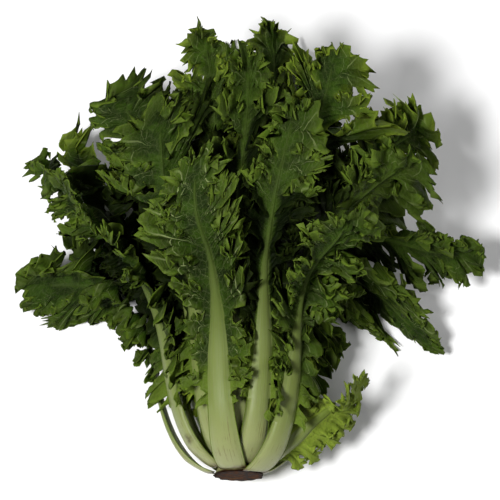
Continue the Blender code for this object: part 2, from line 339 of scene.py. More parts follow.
def leaf_plan(number):
    """A leaf's length, blade half width, blade start, lean and opening."""
    shell = number / LEAF_COUNT
    length = HEART_LEAF_LENGTH + (MIDDLE_LEAF_LENGTH - HEART_LEAF_LENGTH) * smooth(-0.05, 0.50, shell)
    length = length + (OUTER_LEAF_LENGTH - MIDDLE_LEAF_LENGTH) * smooth(0.50, 1.0, shell)
    widest = HEART_HALF_WIDTH + (OUTER_HALF_WIDTH - HEART_HALF_WIDTH) * smooth(0.0, 0.7, shell)
    longer, wider, blade_start, lean, opening = ODD_LEAVES.get(number, USUAL_LEAF)
    return length * longer, widest * wider, blade_start, lean, opening


def rib_half_width(share, shell, blade_start):
    """Half the width of the petiole, and of the midrib that carries on from it through the blade."""
    foot = FOOT_HALF_WIDTH * (0.35 + 0.65 * shell)
    neck = NECK_HALF_WIDTH * (0.45 + 0.55 * shell)
    petiole = foot + (neck - foot) * smooth(0.0, blade_start, share)
    return petiole * (1.0 - 0.8 * smooth(blade_start - 0.1, 1.0, share))


def blade_half_width(share, widest, blade_start):
    """Half the blade's width, without its lobes: broadest past its middle, and round at the tip."""
    blade_share = np.clip((share - blade_start) / (1.0 - blade_start), 0.0, 1.0)
    return widest * np.sin(math.pi * blade_share**1.15) ** 0.62


# The leaves that are paler than the rest, because they grew where less light reached them
PALE_LEAVES = {47: 0.15, 44: 0.05, 36: 0.10, 34: 0.80, 42: 0.95, 31: 0.35, 33: 0.35, 39: 0.25, 29: 0.30}
# The one leaf with a bruise on its petiole: how far across from the midrib's line it is, and how far up
BRUISED_LEAVES = {41: (0.0044, 0.030)}
BRUISE_SIZE = (0.0034, 0.0040)
# The leaves whose veins have stayed whitest
VEINED_LEAVES = {44: 1.0, 45: 0.8, 37: 0.8, 39: 0.6, 47: 0.6}


class Leaf:
    """One leaf's place in the head, tabled along its length."""

    def __init__(self, number):
        self.number = number
        self.shell = number / LEAF_COUNT
        self.turn = LAST_LEAF_TURN + (number - LEAF_COUNT) * LEAF_TURN
        self.length, self.widest, self.blade_start, self.lean, self.opening = leaf_plan(number)
        share = np.linspace(0.0, 1.0, 97)
        self.along = share * self.length
        radius, _ = meridian(self.along, self.shell, self.turn)
        self.rib = rib_half_width(share, self.shell, self.blade_start)
        self.half = self.rib + blade_half_width(share, self.widest, self.blade_start)
        reach = WIDEST_WRAP * np.tanh(self.half / (radius * WIDEST_WRAP))
        self.turn_per_metre = reach / self.half
        self.wrap = reach
        inner_radius, inner_height = meridian(self.along, 0.0, self.turn)
        outer_radius, outer_height = meridian(self.along, 1.0, self.turn)
        self.spread = np.hypot(outer_radius - inner_radius, outer_height - inner_height)

    def at(self, table, along):
        return np.interp(along, self.along, table)


leaves = [Leaf(number) for number in range(1, LEAF_COUNT + 1)]


def room_beside(leaf, along, turn, side):
    """How far a leaf's blade may swing outwards (side 1) or inwards (side -1), in metres, before it would
    meet the next leaf there. It is as good as endless where no other leaf lies over it."""
    crowding = np.full(along.shape, 1e-6)
    for other in leaves:
        apart = (other.number - leaf.number) * side
        if apart <= 0 or other.opening > 0.0 or (leaf.opening > 0.0 and side > 0):
            continue
        across = (turn - other.turn + math.pi) % (2.0 * math.pi) - math.pi
        wrap = other.at(other.wrap, along)
        over = 1.0 - smooth(0.92, 1.22, np.abs(across) / wrap)
        over = over * (1.0 - smooth(other.length - 0.010, other.length + 0.012, along))
        crowding += (over / (0.5 * apart / LEAF_COUNT)) ** 4
    return crowding**-0.25 * leaf.at(leaf.spread, along)


MOST_STANDING_OUT = (0.0170, 0.0165, 0.0130)  # how far a frill may reach past the solid head, each way


def held_in(places):
    """The places, eased so that nothing goes under the table or stands far out from the head."""
    low, high = (np.array(corner) for corner in solid_box)
    eased = 0.006
    for axis, most in enumerate(MOST_STANDING_OUT):
        top = high[axis] + most - eased
        over = np.maximum(places[..., axis] - top, 0.0)
        places[..., axis] = np.minimum(places[..., axis], top) + eased * np.tanh(over / eased)
        if axis < 2:
            bottom = low[axis] - most + eased
            under = np.maximum(bottom - places[..., axis], 0.0)
            places[..., axis] = np.maximum(places[..., axis], bottom) - eased * np.tanh(under / eased)
    resting = 0.0012
    sunk = np.maximum(resting - places[..., 2], 0.0)
    places[..., 2] = np.maximum(places[..., 2], resting) * np.exp(-sunk / (2.0 * resting))
    return places


def unit(vectors):
    """The vectors, each made one long."""
    return vectors / np.maximum(np.linalg.norm(vectors, axis=-1, keepdims=True), 1e-9)


# Along the margin each lobe carries small lobes, and those carry teeth. It folds, gathers where the small
# lobes are, and crimps finely at its very edge.
STRETCH = 1.06  # the folds take up some of a leaf's length
NOTCH_DEPTH = 0.0115
TOOTH_DEPTH = 0.0042
FOLD_HEIGHT, FOLD_LENGTH = 0.0105, 0.021
GATHER_HEIGHT, GATHER_LENGTH = 0.0052, 0.0105
CRIMP_HEIGHT, CRIMP_LENGTH = 0.0024, 0.0066
PUCKER_HEIGHT = 0.0017  # the blade's own small bumps
MOST_OUTWARDS, MOST_INWARDS = 0.026, 0.016  # how far a bare blade may swing
FOOT_ROWS = 26  # of the grid, below the lowest wings
BLADE_SKIN = 0.00020  # half of the blade's thickness
VEIN_SKIN = 0.00035  # how far the side veins stand out


def lobed_side(chance, length, cut, bow, stops, row_stops, rib_at, reach_at):
    """The outline of one side of a flat leaf, row by row: lobes that fan out from side veins, with narrow
    gaps between. Returns the margin's points, the points the veins bend at, and what the folds need."""
    count = len(stops) - 1
    row = np.arange(len(rib_at))
    borders = np.array(row_stops, float)
    narrower = np.minimum(np.diff(borders)[:-1], np.diff(borders)[1:])
    borders[1:-1] += chance.uniform(-0.22, 0.22, count - 1) * narrower
    lobe = np.clip(np.searchsorted(borders, row, side="right") - 1, 0, count - 1)
    through = np.clip((row - borders[lobe]) / np.diff(borders)[lobe], 0.0, 1.0)
    tip = lobe == count - 1

    root = np.interp(0.5 * (borders[:-1] + borders[1:]), row, rib_at)
    ahead = np.radians(26.0 + 24.0 * (root / length) + chance.uniform(-7.0, 7.0, count))
    reach = reach_at((root + 0.3 * reach_at(root / length)) / length) * chance.uniform(0.88, 1.16, count)
    centre = np.stack([0.40 * reach, root + 0.40 * reach * np.tan(ahead)], axis=-1)
    long_radius = 0.68 * reach
    side_radius = np.minimum(0.56 * np.diff(stops) * chance.uniform(0.85, 1.2, count), 0.9 * reach)
    tip_radius = length - stops[-1]

    theta = (2.0 * through - 1.0) * math.radians(118.0)
    lean = ahead[lobe]
    out = long_radius[lobe] * np.cos(theta)
    sideways = side_radius[lobe] * np.sin(theta)
    fan = centre[lobe] + np.stack(
        [out * np.cos(lean) - sideways * np.sin(lean), out * np.sin(lean) + sideways * np.cos(lean)],
        axis=-1,
    )
    swing_round = np.radians(-42.0 + 132.0 * through)
    tip_fan = np.stack(
        [1.15 * tip_radius * np.cos(swing_round), length - tip_radius + tip_radius * np.sin(swing_round)],
        axis=-1,
    )
    fan = np.where(tip[:, None], tip_fan, fan)
    bend = centre[lobe]
    tip_bend = np.stack(
        [
            0.40 * tip_radius * np.cos(swing_round),
            length - tip_radius * (0.80 - 0.35 * np.sin(swing_round)),
        ],
        axis=-1,
    )
    bend = np.where(tip[:, None], tip_bend, bend)

    opened = smooth(0.0, 0.13, through) * np.where(tip, 1.0, 1.0 - smooth(0.87, 1.0, through))
    gap_at = np.interp(row, borders, (1.0 - cut) * reach_at(np.array(stops) / length))
    gap_at = gap_at * smooth(row_stops[0] - 6.0, row_stops[0] + 8.0, row) + 0.0004
    gap = np.stack([gap_at, rib_at + 0.55 * gap_at], axis=-1)
    margin = gap + opened[:, None] * (fan - gap)
    rib = np.stack([np.zeros(len(row)), rib_at], axis=-1)
    bend = rib + 0.5 * (gap - rib) + opened[:, None] * (bend - rib - 0.5 * (gap - rib))

    # Small lobes on each lobe, and teeth on those
    size = opened * np.minimum(1.0, np.where(tip, tip_radius, long_radius[lobe]) / 0.020)
    outline = 1.9 * (long_radius + side_radius)
    outline[-1] = 2.3 * tip_radius
    phase = chance.uniform(0.0, 2.0 * math.pi, (4, count))
    small = 2.0 * math.pi * np.rint(outline / GATHER_LENGTH)[lobe] * through + phase[0][lobe]
    small_notch = (0.5 + 0.5 * np.cos(small)) ** 1.5 * chance.uniform(0.5, 1.1, count)[lobe]
    tooth_depth = np.array([1.0, 0.45, 0.0, 0.55])[row % 4]
    keenness = chance.uniform(0.5, 1.2, len(row) // 4 + 2)[row // 4]
    inward = unit(bend - margin)
    most = 0.40 * np.linalg.norm(bend - margin, axis=-1)
    notches = inward * np.minimum(size * NOTCH_DEPTH * small_notch, most)[:, None]
    teeth = inward * np.minimum(size * TOOTH_DEPTH * tooth_depth * keenness, most)[:, None]

    # Each lobe tilts, bows and folds in its own way, and its veins branch from the one in its middle
    waves = outline[lobe] / FOLD_LENGTH * 2.0 * math.pi * through + phase[1][lobe]
    crimps = outline[lobe] / CRIMP_LENGTH * 2.0 * math.pi * through + phase[2][lobe]
    crimps = crimps + 1.1 * np.sin(waves)
    across = np.stack([-np.sin(lean), np.cos(lean)], axis=-1)
    return {
        "margin": margin,
        "notches": notches,
        "teeth": teeth,
        "bend": bend,
        "opened": opened,
        "size": size,
        "waves": waves,
        "small": small,
        "crimps": crimps,
        "tilt": chance.uniform(-1.7, 1.7, count)[lobe] * ~tip,
        "bow": chance.uniform(bow[0], bow[1], count)[lobe],
        "strength": chance.uniform(0.7, 1.25, count)[lobe],
        "centre": centre[lobe],
        "across": across,
        "through": through,
        "vein_count": np.maximum(3.0, 2.0 * np.rint(outline / 0.034) + 1.0)[lobe],
    }


def frilled_leaf(
    leaf, name, low, wing, cut, bow, span,
    tooth_rows, rib_columns, blade_columns, frill, calm=0.0, turned=0.0,
):
    """One closed leaf: a grid wrapped round it, over its outer face and back along the inner one.

    low: the share of the length at which the narrow wings beside the petiole start
    wing: how far the wings reach from the midrib
    cut: how far the gaps between the lobes reach in, as a share of the way to the midrib
    bow: the least and the most that a lobe curls outwards, in radians
    span: how much of the blade's whole width the lobes take up
    tooth_rows: the length of margin between two rows of the grid
    frill: how strong the folds are; calm: how much flatter this leaf has stayed
    turned: how far the leaf has turned on its midrib
    """
    chance = np.random.RandomState(1000 + leaf.number)
    length, shell = leaf.length * STRETCH, leaf.shell
    low = min(low, leaf.blade_start - 0.02)

    def reach_at(share):
        wings = wing * (0.5 + 0.5 * leaf.widest / OUTER_HALF_WIDTH) * smooth(low - 0.02, low + 0.10, share)
        whole = blade_half_width(np.minimum(share, 0.86), leaf.widest, leaf.blade_start)
        return np.maximum(span * whole, wings) + 0.0005

    # Where each lobe's side vein leaves the midrib, and the rows of the grid that go to it
    tip_radius = 0.42 * leaf.widest + 0.004
    rib_end = length - tip_radius
    stops = [low * length]
    while stops[-1] < rib_end - 0.010:
        stops.append(stops[-1] + 0.012 + 0.24 * float(reach_at(stops[-1] / length)))
    scale = (rib_end - stops[0]) / (stops[-1] - stops[0])
    stops = [stops[0] + (stop - stops[0]) * scale for stop in stops]
    row_stops = [FOOT_ROWS]
    for nearer, farther in zip(stops, stops[1:]):
        reach = float(reach_at(0.5 * (nearer + farther) / length))
        outline = 1.9 * (0.68 * reach + 0.56 * (farther - nearer))
        row_stops.append(row_stops[-1] + 4 * max(4, round(outline / tooth_rows)))
    row_stops[-1] = max(row_stops[-1], row_stops[-2] + 4 * round(2.3 * tip_radius / tooth_rows))
    rows = row_stops[-1]
    row = np.arange(rows + 1)
    rib_at = np.interp(row, [0] + row_stops, [0.0] + stops)
    at_tip = smooth(rows - 7.0, rows, row)[:, None]

    sides = [lobed_side(chance, length, cut, bow, stops, row_stops, rib_at, reach_at) for _ in range(2)]
    rib_steps = np.linspace(0.0, 1.0, rib_columns + 1)[:-1]
    blade_steps = np.linspace(0.0, 1.0, blade_columns + 1) ** 0.85
    half_across = [(step, 0.0) for step in rib_steps] + [(1.0, step) for step in blade_steps]
    across = [(-1.0, a, b) for a, b in reversed(half_across[1:])] + [(1.0, a, b) for a, b in half_across]
    sign, on_rib, on_blade = (np.array(part)[None, :] for part in zip(*across))
    columns = len(across)
    right = sign > 0

    def of_side(key):
        """What lobed_side gives under this key, for the columns of each side."""
        first, second = (side[key] for side in sides)
        if first.ndim == 2:
            return np.where(right[..., None], second[:, None], first[:, None])
        return np.where(right, second[:, None], first[:, None])

    def place_on_leaf(lateral, along):
        """The turn round the head and the shell of a place on the leaf."""
        share = along / length
        turn = leaf.turn + leaf.lean * smooth(0.0, 1.0, share)
        turn = turn + sign * lateral * leaf.at(leaf.turn_per_metre, along)
        return turn, shell + leaf.opening * smooth(0.015, 0.095, along)

    # The veins leave the midrib, bend along their lobe's own vein, and fan out to the margin
    q = on_blade[..., None]
    rib_points = np.stack([np.zeros(rows + 1), rib_at], axis=-1)[:, None]
    bend = of_side("bend")
    margin = of_side("margin") + of_side("notches") * q**3 + of_side("teeth") * q**8
    flat = (1.0 - q) ** 2 * rib_points + 2.0 * q * (1.0 - q) * bend + q**2 * margin
    slimming = 1.0 - 0.5 * smooth(leaf.blade_start - 0.02, leaf.blade_start + 0.25, rib_at / length)
    rib_width = (leaf.at(leaf.rib, rib_at) * slimming)[:, None] * (1.0 - at_tip)

    # A covered blade keeps to its own gap between the leaves over and under it, and a bare margin stands
    # off outwards and folds far more freely
    opened, size = of_side("opened"), of_side("size")
    turn, level = place_on_leaf(rib_width * on_rib + flat[..., 0], flat[..., 1])
    looser = 1.0 + 0.9 * smooth(0.35, 1.0, on_blade)
    gap_over = room_beside(leaf, flat[..., 1], turn, 1)
    out_room = np.minimum(gap_over * looser, MOST_OUTWARDS * frill)
    gap_under = room_beside(leaf, flat[..., 1], turn, -1)
    in_room = np.minimum(gap_under * 1.3 * looser, MOST_INWARDS * frill)

    # The lobes bow away from the blade's plane, and so reach less far across it
    straight = 0.22 if calm else 0.12
    hinge = (1.0 - straight) ** 2 * rib_points + 2.0 * straight * (1.0 - straight) * bend
    hinge = hinge + straight**2 * of_side("margin")
    past = np.clip((on_blade - straight) / (1.0 - straight), 0.0, 1.0)
    bowed = of_side("bow") * frill * opened * past * smooth(0.003, 0.014, out_room) + 1e-6
    reached = np.linalg.norm(flat - hinge, axis=-1) * (past > 0.0)
    kept = np.where(past > 0.0, np.sin(bowed) / bowed, 1.0)[..., None]
    flat = hinge + (flat - hinge) * kept
    arch = reached * (1.0 - np.cos(bowed)) / bowed
    along = flat[..., 1]
    share = along / length
    calm_here = calm * (1.0 - smooth(0.56, 0.74, share))
    lateral = rib_width * on_rib + flat[..., 0]
    turn, level = place_on_leaf(lateral, along)

    waves, small, crimps = of_side("waves"), of_side("small"), of_side("crimps")
    fold = FOLD_HEIGHT * of_side("strength") * smooth(0.05, 1.0, on_blade) ** 1.2 * np.sin(waves)
    gather = GATHER_HEIGHT * on_blade**1.6 * np.sin(small + 0.5)
    gather = gather + CRIMP_HEIGHT * on_blade**3 * np.sin(crimps)
    off_axis = ((flat - of_side("centre")) * of_side("across")).sum(axis=-1)
    tilt = opened * of_side("tilt") * off_axis * smooth(0.25, 0.80, on_blade)
    crumple = np.zeros(along.shape)
    for _ in range(7):
        way, start = chance.uniform(0.0, 2.0 * math.pi, 2)
        stretch = 2.0 * math.pi / chance.uniform(0.008, 0.018)
        crumple += np.sin(stretch * (math.cos(way) * sign * lateral + math.sin(way) * along) + start)
    pucker = PUCKER_HEIGHT * smooth(0.02, 0.30, on_blade) * crumple
    upper = smooth(leaf.blade_start + 0.05, 1.0, share)
    pose = chance.uniform(0.0, 1.0, 4)
    lift = 0.004 + 0.016 * pose[0] * (1.0 - calm_here) + 0.005 * np.sin(along / 0.022 + 6.3 * pose[1])
    lift = frill * upper * lift
    twist = frill * upper * (1.0 - calm_here) * 2.2 * (pose[2] - 0.5) * sign * lateral
    middle = 0.20 * (out_room - in_room)
    half_room = 0.5 * (out_room + in_room) + 0.0010
    swing = (1.0 - 0.6 * calm_here) * frill * size * (fold + gather + pucker)
    swing = swing + tilt * (1.0 - 0.7 * calm_here)
    swing = swing + arch
    low_wings = 1.0 - smooth(leaf.blade_start - 0.12, leaf.blade_start + 0.05, share)
    swing = swing + 0.75 * reached * low_wings
    swing = swing + lift + twist + turned * sign * lateral * smooth(0.14, 0.34, share)
    swing = middle * opened * on_blade**1.2 + half_room * np.tanh(swing / half_room)
    swing = swing + 0.5 * at_tip * (swing[:, ::-1] - swing)

    # Painted shade in the colour: the troughs between the folds, and what lies close under another leaf
    covered = 1.0 - smooth(0.006, 0.034, gap_over)
    trough = 1.0 - smooth(-0.9, 0.5, (swing - middle) / half_room)
    painted_shade = (0.95 * covered + 0.80 * trough) * smooth(0.0, 0.12, on_blade)
    painted_shade = np.clip(painted_shade * smooth(leaf.blade_start - 0.08, leaf.blade_start + 0.10, share), 0.0, 1.0)
    painted_shade = painted_shade + 0.5 * at_tip * (painted_shade[:, ::-1] - painted_shade)

    bruise = np.zeros(share.shape)
    if leaf.number in BRUISED_LEAVES:
        bruise_across, bruise_along = BRUISED_LEAVES[leaf.number]
        off_across = (sign * lateral - bruise_across) / BRUISE_SIZE[0]
        off_along = (along - bruise_along) / BRUISE_SIZE[1]
        bruise = 1.0 - smooth(0.3, 1.4, np.hypot(off_across, off_along))

    # Side veins branch from the middle of each lobe on their way to the margin
    spread = 0.02 + 0.98 * smooth(0.08, 0.80, on_blade)
    vein_row = (of_side("through") - 0.5) / spread * of_side("vein_count")
    most_veins = 0.5 * of_side("vein_count")
    vein_row = np.clip(vein_row, -most_veins, most_veins) + 0.5 * (of_side("vein_count") % 2.0 == 1.0)

    def eased_rows(values):
        padded = np.concatenate([values[:1], values, values[-1:]])
        return 0.25 * padded[:-2] + 0.5 * padded[1:-1] + 0.25 * padded[2:]

    sheet = head_point(along, level, turn)
    sheet[-1] = 0.5 * (sheet[-1] + sheet[-1, ::-1])
    facing = unit(head_point(along, level + 0.02, turn) - head_point(along, level - 0.02, turn))
    row_way = unit(np.gradient(sheet, axis=0))
    side_way = unit(np.gradient(sheet, axis=1)) * sign[..., None]
    slide = -0.0030 * on_blade**1.6 * np.sin(2.0 * waves)
    slide = slide - 0.0008 * on_blade**2.5 * np.sin(2.0 * small + 1.0)
    slide = frill * (1.0 - at_tip) * size * slide
    rolled = frill * (1.0 - at_tip) * size * on_blade**2 * (0.0042 * np.sin(waves + 1.1) + 0.0030)
    sheet = sheet + facing * swing[..., None] + row_way * slide[..., None] - side_way * rolled[..., None]
    sheet[-1] = 0.5 * (sheet[-1] + sheet[-1, ::-1])

    # A juicy petiole and midrib that stand out on the outer face, and a thin blade with raised veins
    normal = np.cross(np.gradient(sheet, axis=1), np.gradient(sheet, axis=0))
    normal[-1] = normal[-2]
    normal = unit(eased_rows(eased_rows(normal)))
    normal = normal * np.sign(np.median((normal * facing).sum(axis=-1)))
    normal[-1] = unit(normal[-1] + normal[-1, ::-1])
    rib_thick = FOOT_THICKNESS + (RIB_END_THICKNESS - FOOT_THICKNESS) * smooth(0.0, 0.75, share)
    apart = smooth(0.010, 0.030, along) * (1.0 - smooth(0.045, 0.078, along))
    most = (RIB_LAYER + (PETIOLE_LAYER - RIB_LAYER) * apart) * leaf.at(leaf.spread, along)
    rib_thick = np.minimum(rib_thick, most)
    dome = np.sqrt(np.clip(1.0 - on_rib**2.0, 0.0, 1.0)) * (on_blade <= 0.0) * (1.0 - at_tip)
    vein = np.exp(-(((vein_row % 1.0 - 0.5) / 0.16) ** 2))
    vein = vein * (on_blade > 0.0) * (1.0 - on_blade) ** 0.7 * opened
    ends = smooth(0.0, 0.004, along)
    outer_skin = (BLADE_SKIN + 0.62 * rib_thick * dome + VEIN_SKIN * vein) * (0.05 + 0.95 * ends)
    inner_skin = (BLADE_SKIN + 0.30 * rib_thick * dome - 0.00010 * vein) * (0.05 + 0.95 * ends)
    outer_skin[-1] = inner_skin[-1] = BLADE_SKIN
    outer = sheet + normal * outer_skin[..., None]
    inner = sheet - normal * inner_skin[..., None]

    # Wrap the grid round the leaf, gather its foot to a line and join its two halves past the midrib's end
    section = np.concatenate([outer, inner[:, ::-1], outer[:, :1]], axis=1)
    section[0, columns : 2 * columns] = section[0, :columns][::-1]
    section[-1] = held_in(section[-1:])[0]
    section = held_in(section)
    section[-1, :columns] = 0.5 * (section[-1, :columns] + section[-1, :columns][::-1])
    section[-1, columns:-1] = 0.5 * (section[-1, columns:-1] + section[-1, columns:-1][::-1])
    section[:, -1] = section[:, 0]

    mesh = bmesh.new()
    bmesh.ops.create_grid(mesh, x_segments=rows, y_segments=2 * columns, size=0.5)
    unrolled = mesh.loops.layers.uv.new("OFBake")
    flat_leaf = mesh.loops.layers.uv.new("flat_leaf")
    mesh.verts.ensure_lookup_table()
    grid = np.array([vertex.co for vertex in mesh.verts])
    row_of = np.rint((grid[:, 0] + 0.5) * rows).astype(int)
    place_of = np.rint((grid[:, 1] + 0.5) * 2 * columns).astype(int)
    column_of = np.where(place_of < columns, place_of, 2 * columns - 1 - place_of)
    column_of = np.where(place_of == 2 * columns, 0, column_of)
    pale = PALE_LEAVES.get(leaf.number, chance.uniform(0.0, 0.22))
    facts = {
        "reach": share[row_of, column_of],
        "edge": np.broadcast_to(on_blade, share.shape)[row_of, column_of],
        "vein_row": vein_row[row_of, column_of],
        "inside": ((place_of >= columns) & (place_of < 2 * columns)).astype(float),
        "rib": dome[row_of, column_of],
        "paleness": (pale * (1.0 - 0.75 * smooth(0.095, 0.150, along)))[row_of, column_of],
        "veined": np.full(len(grid), VEINED_LEAVES.get(leaf.number, 0.40)),
        # painted shade: how dark the troughs and covered places are painted
        "painted_shade": painted_shade[row_of, column_of],
        "bruise": bruise[row_of, column_of],
    }
    flat_x = ((sign * lateral)[row_of, column_of] * 4.0 + 0.5).tolist()
    flat_y = (along[row_of, column_of] * 4.0).tolist()
    unrolled_x, unrolled_y = (grid[:, 1] + 0.5).tolist(), (grid[:, 0] + 0.5).tolist()
    for face in mesh.faces:
        for loop in face.loops:
            index = loop.vert.index
            loop[unrolled].uv = (unrolled_x[index], unrolled_y[index])
            loop[flat_leaf].uv = (flat_x[index], flat_y[index])
    places = section[row_of, place_of].tolist()
    for vertex, place in zip(mesh.verts, places):
        vertex.co = place
    for key, values in facts.items():
        layer = mesh.verts.layers.float.new(key)
        for vertex, value in zip(mesh.verts, values.tolist()):
            vertex[layer] = value
    bmesh.ops.remove_doubles(mesh, verts=mesh.verts, dist=1e-7)
    bmesh.ops.recalc_face_normals(mesh, faces=mesh.faces)
    if mesh.calc_volume(signed=True) < 0.0:
        bmesh.ops.reverse_faces(mesh, faces=mesh.faces)
    data = bpy.data.meshes.new(name)
    mesh.to_mesh(data)
    mesh.free()
    data.shade_smooth()
    return bpy.data.objects.new(name, data)


def leaf_material(
    name, blade_dark, blade_light, young, vein_colour,
    petiole_colour, foot_colour, pale_blade, young_reach, painted_shade_colour,
):
    """A leaf: dark blades with pale veins, a paler outer face, a base that has seen little light, and
    painted shade.
    """
    material = bpy.data.materials.new(name)
    material.use_nodes = True
    tree = material.node_tree
    shader = tree.nodes["Principled BSDF"]
    spot = node(tree, "ShaderNodeTexCoord").outputs["Object"]
    flat = node(tree, "ShaderNodeUVMap", uv_map="flat_leaf").outputs["UV"]

    def fact(key):
        return node(tree, "ShaderNodeAttribute", attribute_name=key).outputs["Fac"]

    reach, edge, vein_row = fact("reach"), fact("edge"), fact("vein_row")
    inside, rib, paleness = fact("inside"), fact("rib"), fact("paleness")
    veined, painted_shade, bruise = fact("veined"), fact("painted_shade"), fact("bruise")
    blotch = node(
        tree, "ShaderNodeTexNoise", {"Vector": spot, "Scale": 80.0, "Detail": 5.0}
    ).outputs["Fac"]
    fine = node(
        tree, "ShaderNodeTexNoise", {"Vector": spot, "Scale": 420.0, "Detail": 3.0}
    ).outputs["Fac"]

    # Side veins, and a coarse and a fine net between them
    off_vein = worked(tree, "ABSOLUTE", worked(tree, "SUBTRACT", worked(tree, "FRACT", vein_row), 0.5))
    vein_width = between(tree, edge, 0.0, 1.0, 0.10, 0.030)
    lateral = worked(tree, "DIVIDE", off_vein, vein_width)
    lateral = between(tree, lateral, 0.35, 1.0, 1.0, 0.0)
    lateral_fades = between(tree, edge, 0.55, 1.0, 1.0, 0.15)
    lateral = worked(tree, "MULTIPLY", lateral, lateral_fades)
    net = node(
        tree,
        "ShaderNodeTexVoronoi",
        {"Vector": flat, "Scale": 46.0, "Randomness": 0.9},
        feature="DISTANCE_TO_EDGE",
        voronoi_dimensions="2D",
    ).outputs["Distance"]
    small_net = node(
        tree,
        "ShaderNodeTexVoronoi",
        {"Vector": flat, "Scale": 130.0},
        feature="DISTANCE_TO_EDGE",
        voronoi_dimensions="2D",
    ).outputs["Distance"]
    net = between(tree, net, 0.015, 0.11, 1.0, 0.0)
    small_net = between(tree, small_net, 0.01, 0.12, 1.0, 0.0)

    wrinkle = node(
        tree,
        "ShaderNodeTexNoise",
        {"Vector": spot, "Scale": 190.0, "Detail": 2.0, "Distortion": 0.8},
    ).outputs["Fac"]

    # The blade: blotched green, yellower low down, at the margin and on the leaves that grew in shade
    base = mixed(tree, between(tree, blotch, 0.40, 0.62), blade_dark, blade_light)
    youngness = worked(
        tree,
        "ADD",
        between(tree, reach, young_reach[0], young_reach[1], 1.0, 0.0),
        worked(tree, "MULTIPLY", worked(tree, "SUBTRACT", blotch, 0.5), 0.5),
    )
    base = mixed(tree, between(tree, youngness, 0.05, 0.95), base, young)
    margin_light = worked(
        tree,
        "ADD",
        worked(tree, "MULTIPLY", between(tree, edge, 0.30, 1.0), 0.32),
        worked(tree, "MULTIPLY", between(tree, edge, 0.86, 1.0), 0.45),
    )
    margin_light = worked(tree, "MAXIMUM", margin_light, paleness)
    base = mixed(tree, margin_light, base, young)
    pale_share = between(tree, paleness, 0.15, 1.0, 0.0, 0.9)
    base = mixed(tree, pale_share, base, pale_blade)
    net_white = worked(tree, "MULTIPLY", veined, 0.13)
    net_share = worked(tree, "MULTIPLY", net, net_white)
    base = mixed(tree, net_share, base, vein_colour)
    small_share = worked(tree, "MULTIPLY", small_net, 0.07)
    base = mixed(tree, small_share, base, vein_colour)
    base = mixed(tree, worked(tree, "MULTIPLY", lateral, veined), base, vein_colour)

    # The petiole and the midrib: streaked with fine strands, whitest at the foot, greener along the blade
    rib_mask = between(tree, rib, 0.05, 0.75)
    near_rib = between(tree, edge, 0.0, 0.05, 0.85, 0.0)
    rib_mask = worked(tree, "MAXIMUM", rib_mask, near_rib)
    rib_shown = worked(
        tree,
        "MAXIMUM",
        between(tree, reach, 0.36, 0.70, 1.0, 0.30),
        worked(tree, "MULTIPLY", veined, 0.9),
    )
    rib_mask = worked(tree, "MULTIPLY", rib_mask, rib_shown)
    strands = node(
        tree,
        "ShaderNodeTexNoise",
        {
            "Vector": node(
                tree, "ShaderNodeMapping", {"Vector": flat, "Scale": (330.0, 9.0, 1.0)}
            ).outputs["Vector"],
            "Scale": 1.0,
            "Detail": 2.0,
        },
        noise_dimensions="2D",
    ).outputs["Fac"]
    strand_share = between(tree, strands, 0.3, 0.7, 0.0, 0.4)
    rib_green = mixed(tree, strand_share, petiole_colour, vein_colour)
    rib_low = between(tree, reach, 0.02, 0.26, 0.75, 0.0)
    rib_green = mixed(tree, rib_low, rib_green, foot_colour)
    rib_far = between(tree, reach, 0.20, 0.75, 0.0, 0.85)
    rib_green = mixed(tree, rib_far, rib_green, blade_light)
    # Thin rusty streaks run up the petioles in places
    rusty = worked(
        tree,
        "MULTIPLY",
        between(tree, strands, 0.56, 0.68),
        between(tree, blotch, 0.47, 0.60, 0.0, 0.55),
    )
    rusty_fades = between(tree, reach, 0.10, 0.34, 1.0, 0.0)
    rusty = worked(tree, "MULTIPLY", rusty, rusty_fades)
    rib_green = mixed(tree, rusty, rib_green, (0.120, 0.070, 0.020, 1.0))
    base = mixed(tree, rib_mask, base, rib_green)

    # Browned feet round the cut, the bruise, the paler outer face, and painted shade in troughs and covered
    # places
    foot_brown = worked(
        tree,
        "MULTIPLY",
        between(tree, reach, 0.006, 0.036, 1.0, 0.0),
        between(tree, blotch, 0.35, 0.65, 0.25, 1.0),
    )
    base = mixed(tree, foot_brown, base, (0.080, 0.032, 0.012, 1.0))
    bruised = between(tree, fine, 0.30, 0.60, 0.55, 1.0)
    bruised = worked(tree, "MULTIPLY", bruise, bruised)
    base = mixed(tree, bruised, base, (0.060, 0.038, 0.010, 1.0))
    under_light = worked(tree, "SUBTRACT", 1.0, inside)
    under_light = worked(tree, "MULTIPLY", under_light, 0.12)
    base = mixed(tree, under_light, base, (0.060, 0.090, 0.020, 1.0))
    # Painted shade: the troughs and the places under other leaves darken towards a near-black green
    painted_shade_share = worked(tree, "MULTIPLY", between(tree, painted_shade, 0.10, 0.90), 0.88)
    base = mixed(tree, painted_shade_share, base, painted_shade_colour)

